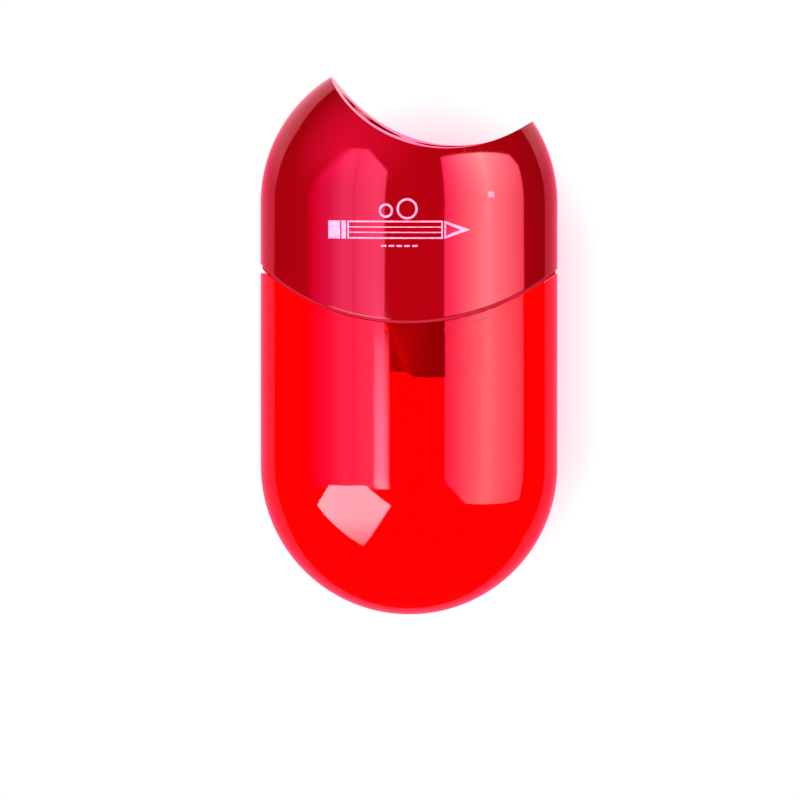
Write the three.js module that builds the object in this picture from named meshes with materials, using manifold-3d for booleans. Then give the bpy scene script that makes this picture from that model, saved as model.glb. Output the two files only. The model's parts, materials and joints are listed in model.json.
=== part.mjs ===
// Oval pocket pencil sharpener: a cap with two pencil holes in a hollow saddle, a two-bore
// sharpener body with screwed blades inside it, and a shavings container that pulls off.
//
// Millimetres. It lies on its back: +X is to the right, +Y runs along it towards the pencil
// holes and +Z is its front. The parts are built round the middle of the capsule that both
// shells are cut from, and the group then moves that frame to the middle of the resting face.
import * as THREE from "three";
import { mergeVertices } from "three/addons/utils/BufferGeometryUtils.js";
import Module from "manifold-3d";

const wasm = await Module();
wasm.setup();

// ---------------------------------------------------------------- driving dimensions

// Outer form: a capsule of oval section, flattened a little along its back.
const BODY_WIDTH = 40;
const BODY_DEPTH = 25;
const DOME_SPACING = 35.4; // between the centres of the two round ends
const REST_LAND_DEPTH = 0.35; // how far the back is flattened, so that it lies still
const SHELL_WALL = 1.6;

// Saddle: the hollow across the top that the pencils go in through.
const SADDLE_RADIUS = 18.8;
const SADDLE_DROP = 12.4; // from the uncut top of the dome to the saddle's lowest line
const SADDLE_FLOOR = 1.6;

// Seam between cap and container: an arc seen from the front, cut straight through.
const SEAM_RADIUS = 32.3;
const SEAM_OFFSET = 0.5; // the arc's lowest point is this far to the right
const SEAM_HEIGHT = 2.35; // the cap's lowest edge above the middle of the capsule
const SEAM_GAP = 0.45;
const RIM_CORNER_HEIGHT = 6.36; // above the rim's lowest point, where its corners are cut flat

// Neck of the container, which slides up inside the cap.
const NECK_CLEARANCE = 0.25;
const NECK_WALL = 1.1;
const NECK_TOP = 11.5; // above the middle of the capsule
const NECK_ROOT = 1; // how far below the rim the neck's ledge goes
const SNAP_BEAD_RADIUS = 0.6;
const SNAP_BEAD_PROUD = 0.15;
const SNAP_BEAD_LENGTH = 9;
const SNAP_BEAD_BELOW_TOP = 1.9;

// The two pencil holes. `x` and `screwAside` run along X, the lengths run along the bore.
const HOLES = {
  standard: {
    x: -5,
    radius: 4.1,
    halfAngle: 12,
    tipRadius: 0.6,
    bladeLength: 15.2,
    bladeWidth: 7.6,
    screwAlong: 8.8,
    screwAside: 4,
  },
  jumbo: {
    x: 5.8, // under the saddle's lowest line
    radius: 5.2,
    halfAngle: 11.5,
    tipRadius: 0.8,
    bladeLength: 24,
    bladeWidth: 7.6,
    screwAlong: 14.5,
    screwAside: 4.2,
  },
};

// Guide tubes under the saddle.
const GUIDE_WALL = 1.1;
const GUIDE_LENGTH = 2; // below the saddle's floor, at its lowest line

// Sharpener body: a metal wedge with both bores.
const BLOCK_GAP = 0.3; // to the guides and ribs of the cap
const BLOCK_NECK_GAP = 0.6; // to the container's neck, which slides past it
const BLOCK_LENGTH = 26.9; // along the jumbo bore
const BLOCK_SHORT_LENGTH = 17.5; // along the standard bore, which is open at its tip
const BLOCK_SHORT_CORNER = 1.6; // cut off the outer corner there
const BLOCK_TONGUE_LEFT = -2.9; // where the jumbo part starts to reach further down
const BLOCK_STEP = 0.75; // the jumbo part's left corner ends this much sooner
const BLOCK_STEP_AT = 0.5; // where the lower edge steps down, to the right of the middle
const BLOCK_STEP_RUN = 2.4; // the width over which it steps down
const BLOCK_FACE_WALL = 1.3; // in front of the larger bore and behind it
const BLOCK_SIDE_WALL = 1.4; // beside the larger bore
const BLADE_MARGIN = 0.4; // beside the standard blade
const BLOCK_CHAMFER = 2;
const COLLAR_LENGTH = 2.5; // the full-thickness entry of each bore
const GRIP_RADIUS = 14; // hollow finger grips in both sides
const GRIP_DEPTH = 1.2;
const GRIP_BELOW_TOP = 8;
const CHIP_SLOPE = 38; // degrees, floor of the slot that lets the shavings out
const CHIP_WIDTH = 3.1;
const CUT_DEPTH = 0.15; // the blade stands this far inside the bore

// Blades and their screws.
const BLADE_THICKNESS = 0.6;
const BLADE_BEVEL = 1.5;
const BLADE_HOLE_RADIUS = 1.55;
const BLADE_CORNER = 1.2;
const CONTACT_GAP = 0.1; // between pieces that are clamped together
const SCREW_HEAD_RADIUS = 2.4;
const SCREW_HEAD_HEIGHT = 1.25;
const SCREW_EDGE = 0.35; // rounding of the head's rim
const SCREW_SHANK_RADIUS = 1.25;
const SCREW_SHANK_LENGTH = 4.4; // below the head
const SCREW_HOLE_CLEARANCE = 0.12;
const RECESS_WIDTH = 0.75;
const RECESS_LENGTH = 2.7;
const RECESS_DEPTH = 0.8;

// Ribs inside the cap, which locate the sharpener body.
const RIB_THICKNESS = 1.4;
const RIB_SPACING = 15; // between the two ribs on the front, and on the back
const RIB_ABOVE_NECK = 1; // room over the container's neck

// Facets.
const ROUND_STEPS = 72; // round the body
const DOME_STEPS = 14; // from the side of the dome to its end
const HOLE_STEPS = 44;
const SMALL_STEPS = 24;
const ARC_STEPS = 28;
const SADDLE_STEPS = 96; // round the whole of the bar that hollows the saddle

// ---------------------------------------------------------------- derived places

const halfWidth = BODY_WIDTH / 2;
const halfDepth = BODY_DEPTH / 2;
const domeCentre = DOME_SPACING / 2;
const capsuleTop = domeCentre + halfWidth;
const saddleLow = capsuleTop - SADDLE_DROP;
const saddleCentre = { x: HOLES.jumbo.x, y: saddleLow + SADDLE_RADIUS };
const innerWidth = halfWidth - SHELL_WALL; // half sizes of the cavity
const innerDepth = halfDepth - SHELL_WALL;
const neckWidth = innerWidth - NECK_CLEARANCE; // half sizes of the neck
const neckDepth = innerDepth - NECK_CLEARANCE;
const hollowWidth = neckWidth - NECK_WALL; // half sizes of the space inside the neck
const hollowDepth = neckDepth - NECK_WALL;
const rimRadius = SEAM_RADIUS + SEAM_GAP;
const rimLow = SEAM_HEIGHT - SEAM_GAP;
const seamCentre = { x: SEAM_OFFSET, y: SEAM_HEIGHT + SEAM_RADIUS };
const guideEnd = saddleLow - SADDLE_FLOOR - GUIDE_LENGTH;
const blockTop = guideEnd - BLOCK_GAP;
const blockBottom = blockTop - BLOCK_LENGTH;
const blockLeft = HOLES.standard.x - HOLES.standard.bladeWidth - BLADE_MARGIN;
const blockRight = HOLES.jumbo.x + HOLES.jumbo.radius + BLOCK_SIDE_WALL;
const blockFront = HOLES.jumbo.radius + BLOCK_FACE_WALL;
const partition = HOLES.standard.x + CHIP_WIDTH; // where one blade's seat ends and the next begins
const gripHeight = blockTop - GRIP_BELOW_TOP;
const beyond = 2 * (BODY_WIDTH + BODY_DEPTH); // longer than anything it cuts

// ---------------------------------------------------------------- solids

// A closed three.js geometry as a solid that can be joined and cut.
function solid(geometry) {
  const plain = geometry.index ? geometry.toNonIndexed() : geometry.clone();
  for (const name of Object.keys(plain.attributes)) {
    if (name !== "position") plain.deleteAttribute(name);
  }
  const merged = mergeVertices(plain, 1e-4);
  const corners = [];
  for (let i = 0; i < merged.index.count; i += 3) {
    const [a, b, c] = [0, 1, 2].map((k) => merged.index.getX(i + k));
    if (a !== b && b !== c && c !== a) corners.push(a, b, c); // poles give triangles with no area
  }
  return new wasm.Manifold(
    new wasm.Mesh({
      numProp: 3,
      vertProperties: new Float32Array(merged.attributes.position.array),
      triVerts: new Uint32Array(corners),
    }),
  );
}

// A solid as a named mesh.
function meshOf(name, shape, material) {
  const found = shape.getMesh();
  const geometry = new THREE.BufferGeometry();
  geometry.setAttribute("position", new THREE.BufferAttribute(found.vertProperties, 3));
  geometry.setIndex(new THREE.BufferAttribute(found.triVerts, 1));
  geometry.computeVertexNormals();
  const mesh = new THREE.Mesh(geometry, material);
  mesh.name = name;
  return mesh;
}

// The capsule that the shells are cut from, with these half sizes.
function capsule(width, depth) {
  const geometry = new THREE.CapsuleGeometry(width, DOME_SPACING, DOME_STEPS, ROUND_STEPS);
  return solid(geometry.scale(1, 1, depth / width));
}

// An oval bar along Y, from low to high.
function ovalBar(width, depth, low, high) {
  const geometry = new THREE.CylinderGeometry(1, 1, high - low, ROUND_STEPS);
  return solid(geometry.scale(width, 1, depth).translate(0, (low + high) / 2, 0));
}

// A round bar along Y.
function roundBar(x, radius, low, high) {
  const geometry = new THREE.CylinderGeometry(radius, radius, high - low, HOLE_STEPS);
  return solid(geometry.translate(x, (low + high) / 2, 0));
}

// A block between two corners.
function box(low, high) {
  const size = high.map((value, i) => value - low[i]);
  const geometry = new THREE.BoxGeometry(...size);
  return solid(geometry.translate(...low.map((value, i) => value + size[i] / 2)));
}

// An outline in the XY plane, pulled right through the body along Z.
function through(shape) {
  const geometry = new THREE.ExtrudeGeometry(shape, {
    depth: beyond,
    bevelEnabled: false,
    curveSegments: ARC_STEPS,
  });
  return solid(geometry.translate(0, 0, -beyond / 2));
}

// All that lies above an arc round the seam's centre.
function aboveSeam(radius) {
  const half = halfWidth + SHELL_WALL;
  const angle = Math.asin(half / radius);
  const shape = new THREE.Shape();
  shape.absarc(seamCentre.x, seamCentre.y, radius, -Math.PI / 2 - angle, -Math.PI / 2 + angle);
  shape.lineTo(seamCentre.x + half, capsuleTop + half);
  shape.lineTo(seamCentre.x - half, capsuleTop + half);
  return through(shape);
}

// The round bar that hollows the saddle, thicker by the saddle's floor for the cavity under it.
function saddleBar(radius) {
  const shape = new THREE.Shape();
  shape.absarc(saddleCentre.x, saddleCentre.y, radius, 0, 2 * Math.PI);
  const geometry = new THREE.ExtrudeGeometry(shape, {
    depth: beyond,
    bevelEnabled: false,
    curveSegments: SADDLE_STEPS,
  });
  return solid(geometry.translate(0, 0, -beyond / 2));
}

// What is shaved off the back so that it has a flat to lie on.
function behindRestLand() {
  const face = -(halfDepth - REST_LAND_DEPTH);
  return box([-beyond, -beyond, -beyond], [beyond, beyond, face]);
}

// ---------------------------------------------------------------- sharpener body

// The outline of the sharpener body from the front, grown all round by `grow`.
function blockOutline(grow) {
  const [left, right] = [blockLeft - grow, blockRight + grow];
  const [top, bottom] = [blockTop + grow, blockBottom - grow];
  const shortBottom = blockTop - BLOCK_SHORT_LENGTH - grow;
  const tongueLeft = BLOCK_TONGUE_LEFT - grow;
  const radius = GRIP_RADIUS - grow;
  const sink = GRIP_DEPTH - GRIP_RADIUS; // from a side to its grip's centre, outwards if negative
  const half = Math.sqrt(radius ** 2 - (GRIP_RADIUS - GRIP_DEPTH - grow) ** 2);
  const turn = Math.asin(half / radius);
  const [stepLeft, stepRight] = [-1, 1].map((side) => BLOCK_STEP_AT + (side * BLOCK_STEP_RUN) / 2);
  const stepMiddle = BLOCK_STEP_AT;
  const shape = new THREE.Shape();
  shape.moveTo(left, top);
  shape.lineTo(left, gripHeight + half);
  shape.absarc(blockLeft + sink, gripHeight, radius, turn, -turn, true);
  shape.lineTo(left, shortBottom + BLOCK_SHORT_CORNER);
  shape.lineTo(left + BLOCK_SHORT_CORNER, shortBottom);
  shape.lineTo(tongueLeft, shortBottom);
  shape.lineTo(tongueLeft, bottom + BLOCK_STEP);
  shape.lineTo(stepLeft, bottom + BLOCK_STEP);
  shape.bezierCurveTo(stepMiddle, bottom + BLOCK_STEP, stepMiddle, bottom, stepRight, bottom);
  shape.lineTo(right, bottom);
  shape.lineTo(right, gripHeight - half);
  shape.absarc(blockRight - sink, gripHeight, radius, Math.PI + turn, Math.PI - turn, true);
  shape.lineTo(right, top);
  return shape;
}

// The block before it is cut: the front outline crossed with a chamfered section.
function blockBlank() {
  const [l, r, f, c] = [blockLeft, blockRight, blockFront, BLOCK_CHAMFER];
  const section = new THREE.Shape(
    [
      [l + c, -f],
      [r - c, -f],
      [r, -f + c],
      [r, f - c],
      [r - c, f],
      [l + c, f],
      [l, f - c],
      [l, -f + c],
    ].map(([x, z]) => new THREE.Vector2(x, z)),
  );
  const geometry = new THREE.ExtrudeGeometry(section, { depth: beyond, bevelEnabled: false });
  geometry.translate(0, 0, -beyond / 2).rotateX(Math.PI / 2);
  return through(blockOutline(0)).intersect(solid(geometry));
}

// Where a hole's taper starts.
const taperStart = blockTop - COLLAR_LENGTH;

// The bore of one hole: straight through the collar, then tapering to its tip.
function bore(hole) {
  const taper = (hole.radius - hole.tipRadius) / Math.tan(THREE.MathUtils.degToRad(hole.halfAngle));
  const profile = [
    [0, taperStart - taper],
    [hole.tipRadius, taperStart - taper],
    [hole.radius, taperStart],
    [hole.radius, blockTop + COLLAR_LENGTH],
    [0, blockTop + COLLAR_LENGTH],
  ].map(([x, y]) => new THREE.Vector2(x, y));
  return solid(new THREE.LatheGeometry(profile, HOLE_STEPS).translate(hole.x, 0, 0));
}

// The frame of a blade's seat: X stays, Y runs down along the bore's back and Z leaves the bore.
function seatMatrix(hole) {
  const angle = THREE.MathUtils.degToRad(hole.halfAngle);
  const along = new THREE.Vector3(0, -Math.cos(angle), Math.sin(angle));
  const out = new THREE.Vector3(0, -Math.sin(angle), -Math.cos(angle));
  const matrix = new THREE.Matrix4().makeBasis(new THREE.Vector3(1, 0, 0), along, out);
  return matrix.setPosition(hole.x, taperStart, -(hole.radius - CUT_DEPTH));
}

// A geometry made in the seat's frame, as a solid in the body's frame.
function onSeat(hole, geometry) {
  return solid(geometry.applyMatrix4(seatMatrix(hole)));
}

// What is cut away over a blade's seat, between two places across the block.
function seatCut(hole, left, right) {
  const geometry = new THREE.BoxGeometry(right - left, beyond, beyond);
  return onSeat(hole, geometry.translate((left + right) / 2 - hole.x, beyond / 2, beyond / 2));
}

// The slot beside a blade's edge, where the shavings leave the bore.
function chipSlot(hole, width) {
  const deep = width * Math.tan(THREE.MathUtils.degToRad(CHIP_SLOPE));
  const section = new THREE.Shape();
  section.moveTo(0, 0);
  section.lineTo(width, -deep);
  section.lineTo(width, deep);
  section.lineTo(0, deep);
  const geometry = new THREE.ExtrudeGeometry(section, {
    depth: hole.bladeLength,
    bevelEnabled: false,
  });
  // The section's plane becomes the seat's X and Z, and its depth runs along the bore.
  return onSeat(hole, geometry.rotateX(Math.PI / 2).translate(0, hole.bladeLength, 0));
}

// A round bar square to a blade's seat, at the blade's screw.
function atScrew(hole, radius, low, high) {
  const geometry = new THREE.CylinderGeometry(radius, radius, high - low, SMALL_STEPS);
  geometry.rotateX(Math.PI / 2).translate(-hole.screwAside, hole.screwAlong, (low + high) / 2);
  return onSeat(hole, geometry);
}

// The room inside the container's neck, which the sharpener body's corners stay within.
function insideNeck() {
  const [width, depth] = [hollowWidth - BLOCK_NECK_GAP, hollowDepth - BLOCK_NECK_GAP];
  return ovalBar(width, depth, blockBottom - BLOCK_GAP, blockTop + BLOCK_GAP);
}

function sharpenerBody() {
  const { standard, jumbo } = HOLES;
  const tapHole = SCREW_SHANK_RADIUS + SCREW_HOLE_CLEARANCE;
  const tapDepth = SCREW_SHANK_LENGTH + SCREW_HOLE_CLEARANCE;
  let block = blockBlank()
    .subtract(seatCut(standard, -beyond, partition))
    .subtract(seatCut(jumbo, partition, beyond))
    .subtract(chipSlot(standard, CHIP_WIDTH))
    .subtract(chipSlot(jumbo, blockRight - jumbo.x + BLOCK_SIDE_WALL));
  for (const hole of [standard, jumbo]) {
    block = block.subtract(bore(hole)).subtract(atScrew(hole, tapHole, -tapDepth, BLADE_THICKNESS));
  }
  return block.intersect(insideNeck());
}

// ---------------------------------------------------------------- blades and screws

// A blade, with its edge along the bore's line and the bevel on its outer face.
function blade(hole) {
  const width = hole.bladeWidth;
  const section = new THREE.Shape();
  section.moveTo(0, 0);
  section.lineTo(-BLADE_BEVEL, BLADE_THICKNESS);
  section.lineTo(-width, BLADE_THICKNESS);
  section.lineTo(-width, 0);
  const bar = new THREE.ExtrudeGeometry(section, { depth: hole.bladeLength, bevelEnabled: false });
  bar.rotateX(Math.PI / 2).translate(0, hole.bladeLength, 0);
  // From the flat side: the corners away from the edge are cut off.
  const plan = new THREE.Shape(
    [
      [BLADE_CORNER, 0],
      [-width + BLADE_CORNER, 0],
      [-width, BLADE_CORNER],
      [-width, hole.bladeLength - BLADE_CORNER],
      [-width + BLADE_CORNER, hole.bladeLength],
      [BLADE_CORNER, hole.bladeLength],
    ].map(([x, y]) => new THREE.Vector2(x, y)),
  );
  const plate = new THREE.ExtrudeGeometry(plan, { depth: 2 * BLADE_THICKNESS, bevelEnabled: false });
  for (const geometry of [bar, plate]) geometry.translate(0, CONTACT_GAP, CONTACT_GAP);
  plate.translate(0, 0, -BLADE_THICKNESS / 2);
  return onSeat(hole, bar)
    .intersect(onSeat(hole, plate))
    .subtract(atScrew(hole, BLADE_HOLE_RADIUS, -1, 2 * BLADE_THICKNESS));
}

// A blade's screw: rounded cheese head with a cross recess, and its shank in the body.
function bladeScrew(hole) {
  const under = BLADE_THICKNESS + 2 * CONTACT_GAP;
  const top = under + SCREW_HEAD_HEIGHT;
  const profile = [
    [0, under - SCREW_SHANK_LENGTH],
    [SCREW_SHANK_RADIUS - SCREW_EDGE, under - SCREW_SHANK_LENGTH],
    [SCREW_SHANK_RADIUS, under - SCREW_SHANK_LENGTH + SCREW_EDGE],
    [SCREW_SHANK_RADIUS, under],
    [SCREW_HEAD_RADIUS, under],
    [SCREW_HEAD_RADIUS, top - SCREW_EDGE],
    [SCREW_HEAD_RADIUS - SCREW_EDGE, top],
    [0, top],
  ].map(([x, y]) => new THREE.Vector2(x, y));
  const turned = new THREE.LatheGeometry(profile, SMALL_STEPS).rotateX(Math.PI / 2);
  let screw = onSeat(hole, turned.translate(-hole.screwAside, hole.screwAlong, 0));
  for (const [sizeX, sizeY] of [
    [RECESS_LENGTH, RECESS_WIDTH],
    [RECESS_WIDTH, RECESS_LENGTH],
  ]) {
    const slot = new THREE.BoxGeometry(sizeX, sizeY, 2 * RECESS_DEPTH);
    slot.translate(-hole.screwAside, hole.screwAlong, top);
    screw = screw.subtract(onSeat(hole, slot));
  }
  return screw;
}

// ---------------------------------------------------------------- cap

// The ribs that locate the sharpener body, left open where it goes, with a gap round it.
function capRibs() {
  const low = NECK_TOP + RIB_ABOVE_NECK;
  const half = RIB_THICKNESS / 2;
  const reach = blockFront + BLOCK_GAP;
  let ribs = box([-beyond, low, -half], [beyond, capsuleTop, half]); // to both finger grips
  for (const x of [-RIB_SPACING / 2, RIB_SPACING / 2]) {
    ribs = ribs.add(box([x - half, low, -beyond], [x + half, capsuleTop, beyond]));
  }
  const room = through(blockOutline(BLOCK_GAP)).intersect(
    box([-beyond, -beyond, -reach], [beyond, capsuleTop, reach]),
  );
  return ribs.subtract(room);
}

function cap() {
  const { standard, jumbo } = HOLES;
  const cavity = capsule(innerWidth, innerDepth).subtract(
    saddleBar(SADDLE_RADIUS + SADDLE_FLOOR),
  );
  let inside = capRibs();
  for (const hole of [standard, jumbo]) {
    inside = inside.add(roundBar(hole.x, hole.radius + GUIDE_WALL, guideEnd, capsuleTop));
  }
  let shell = capsule(halfWidth, halfDepth)
    .intersect(aboveSeam(SEAM_RADIUS))
    .subtract(cavity)
    .add(inside.intersect(capsule(halfWidth - SHELL_WALL / 2, halfDepth - SHELL_WALL / 2)))
    .subtract(saddleBar(SADDLE_RADIUS))
    .subtract(behindRestLand());
  for (const hole of [standard, jumbo]) {
    shell = shell.subtract(roundBar(hole.x, hole.radius, 0, 2 * capsuleTop));
  }
  return shell;
}

// ---------------------------------------------------------------- container

// The two beads that click into the cap, one on the front and one on the back of the neck.
function snapBeads() {
  const height = NECK_TOP - SNAP_BEAD_BELOW_TOP;
  const bar = new THREE.CylinderGeometry(1, 1, 2 * SNAP_BEAD_RADIUS, ROUND_STEPS);
  bar.scale(neckWidth + SNAP_BEAD_PROUD, 1, neckDepth + SNAP_BEAD_PROUD).translate(0, height, 0);
  const half = SNAP_BEAD_LENGTH / 2;
  return solid(bar).intersect(box([-half, -beyond, -beyond], [half, beyond, beyond]));
}

function container() {
  const corner = rimLow + RIM_CORNER_HEIGHT;
  const belowRim = box([-beyond, -beyond, -beyond], [beyond, corner, beyond]).subtract(
    aboveSeam(rimRadius),
  );
  const hollow = ovalBar(hollowWidth, hollowDepth, -domeCentre, beyond);
  const outside = capsule(halfWidth, halfDepth).intersect(belowRim);
  const ledge = outside.intersect(aboveSeam(rimRadius + NECK_ROOT)).subtract(hollow);
  const neck = ovalBar(neckWidth, neckDepth, -domeCentre, NECK_TOP)
    .add(snapBeads())
    .intersect(aboveSeam(rimRadius + NECK_ROOT))
    .subtract(hollow);
  return outside
    .subtract(capsule(innerWidth, innerDepth))
    .add(ledge)
    .add(neck)
    .subtract(behindRestLand());
}

// ---------------------------------------------------------------- materials and assembly

function material(color, roughness, metalness, opacity = 1) {
  return new THREE.MeshStandardMaterial({
    color,
    roughness,
    metalness,
    opacity,
    transparent: opacity < 1,
  });
}

const capRed = material(0xb4020e, 0.12, 0);
const clearRed = material(0xfe0004, 0.08, 0, 0.55);
const castAlloy = material(0x9a9ca0, 0.45, 0.9);
const bladeSteel = material(0xb9bdc2, 0.25, 1);
const screwSteel = material(0xc9c3b2, 0.3, 1);

// The height of the left peak, where the saddle meets the dome.
function peakHeight() {
  const across = saddleCentre.x;
  const up = saddleCentre.y - domeCentre;
  const apart = Math.hypot(across, up);
  const along = (apart ** 2 + halfWidth ** 2 - SADDLE_RADIUS ** 2) / (2 * apart);
  const aside = Math.sqrt(halfWidth ** 2 - along ** 2);
  return domeCentre + (along * up + aside * across) / apart;
}

const sharpener = new THREE.Group();
sharpener.add(
  meshOf("cap_shell", cap(), capRed),
  meshOf("container_shell", container(), clearRed),
  meshOf("sharpener_body", sharpenerBody(), castAlloy),
  meshOf("standard_blade", blade(HOLES.standard), bladeSteel),
  meshOf("jumbo_blade", blade(HOLES.jumbo), bladeSteel),
  meshOf("standard_blade_screw", bladeScrew(HOLES.standard), screwSteel),
  meshOf("jumbo_blade_screw", bladeScrew(HOLES.jumbo), screwSteel),
);
sharpener.position.set(0, (capsuleTop - peakHeight()) / 2, halfDepth - REST_LAND_DEPTH);

export default sharpener;
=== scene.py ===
"""Oval pocket pencil sharpener with two pencil holes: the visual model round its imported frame.

It lies on its back. +X is to the right, +Y runs along it towards the pencil holes and +Z is its
front. All lengths are in metres.
"""

import json
import logging
import math
from dataclasses import dataclass
from enum import Enum
from typing import Any, Callable, Mapping, Sequence, Union

import bmesh
import bpy
from mathutils import Matrix, Vector

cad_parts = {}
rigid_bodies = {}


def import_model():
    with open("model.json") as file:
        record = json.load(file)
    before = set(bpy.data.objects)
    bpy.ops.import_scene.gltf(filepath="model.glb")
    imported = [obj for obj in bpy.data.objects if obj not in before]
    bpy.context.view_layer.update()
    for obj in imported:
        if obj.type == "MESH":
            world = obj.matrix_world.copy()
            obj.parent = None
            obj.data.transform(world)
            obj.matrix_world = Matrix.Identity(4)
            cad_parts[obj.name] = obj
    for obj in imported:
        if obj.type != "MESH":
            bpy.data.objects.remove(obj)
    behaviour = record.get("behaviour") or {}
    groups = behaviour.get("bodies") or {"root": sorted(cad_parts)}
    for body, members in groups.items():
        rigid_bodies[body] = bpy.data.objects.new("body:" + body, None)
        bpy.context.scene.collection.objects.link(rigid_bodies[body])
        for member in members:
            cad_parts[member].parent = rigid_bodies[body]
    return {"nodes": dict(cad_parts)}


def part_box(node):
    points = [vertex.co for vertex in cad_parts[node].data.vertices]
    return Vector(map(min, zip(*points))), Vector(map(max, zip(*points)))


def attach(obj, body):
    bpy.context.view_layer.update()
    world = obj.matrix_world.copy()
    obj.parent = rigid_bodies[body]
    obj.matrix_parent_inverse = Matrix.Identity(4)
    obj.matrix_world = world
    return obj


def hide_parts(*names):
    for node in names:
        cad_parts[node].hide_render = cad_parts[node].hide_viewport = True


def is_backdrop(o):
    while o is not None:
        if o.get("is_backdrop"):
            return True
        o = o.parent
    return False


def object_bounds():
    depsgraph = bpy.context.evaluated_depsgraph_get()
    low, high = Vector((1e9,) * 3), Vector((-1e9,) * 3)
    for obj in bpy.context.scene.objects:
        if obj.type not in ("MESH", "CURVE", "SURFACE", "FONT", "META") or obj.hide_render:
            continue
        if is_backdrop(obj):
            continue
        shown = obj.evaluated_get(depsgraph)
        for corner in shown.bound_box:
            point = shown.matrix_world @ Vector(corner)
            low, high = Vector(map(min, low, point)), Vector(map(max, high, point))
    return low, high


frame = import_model()

MM = 0.001
LOG = logging.getLogger("pencil_sharpener")

Colour = tuple[float, float, float]
Value = Union["Signal", float, Sequence[float], None]


class Cut(Enum):
    """How one solid changes another."""

    TAKE_AWAY = "DIFFERENCE"
    JOIN = "UNION"
    KEEP_COMMON = "INTERSECT"


class Side(Enum):
    """The direction along X from a middle, as a sign."""

    LEFT = -1
    RIGHT = 1


# ---------------------------------------------------------------- modelling by hand


def select_nothing() -> None:
    """Leaves object mode ready, with nothing selected."""
    if bpy.context.object is not None and bpy.context.object.mode != "OBJECT":
        bpy.ops.object.mode_set(mode="OBJECT")
    bpy.ops.object.select_all(action="DESELECT")


def pick_only(piece: bpy.types.Object) -> None:
    """Selects one piece and makes it active.

    Args:
        piece: the piece to pick.
    """
    select_nothing()
    piece.select_set(True)
    bpy.context.view_layer.objects.active = piece


def settle(piece: bpy.types.Object) -> None:
    """Moves a piece's place, turn and scale into its mesh.

    Args:
        piece: the piece to settle.
    """
    pick_only(piece)
    bpy.ops.object.transform_apply(location=True, rotation=True, scale=True)


def select_where(
    piece: bpy.types.Object,
    faces: Callable[[bmesh.types.BMFace], bool] | None = None,
    edges: Callable[[bmesh.types.BMEdge], bool] | None = None,
) -> None:
    """In edit mode, selects only the faces or edges that pass a test.

    Args:
        piece: the piece being edited.
        faces: the test for faces, where faces are wanted.
        edges: the test for edges, where edges are wanted.
    """
    bpy.ops.mesh.select_mode(type="FACE" if faces else "EDGE")
    bpy.ops.mesh.select_all(action="DESELECT")
    mesh = bmesh.from_edit_mesh(piece.data)
    mesh.normal_update()
    wanted = (
        [face for face in mesh.faces if faces(face)]
        if faces
        else [edge for edge in mesh.edges if edges and edges(edge)]
    )
    for element in wanted:
        element.select_set(True)
    mesh.select_flush_mode()
    bmesh.update_edit_mesh(piece.data)


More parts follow.
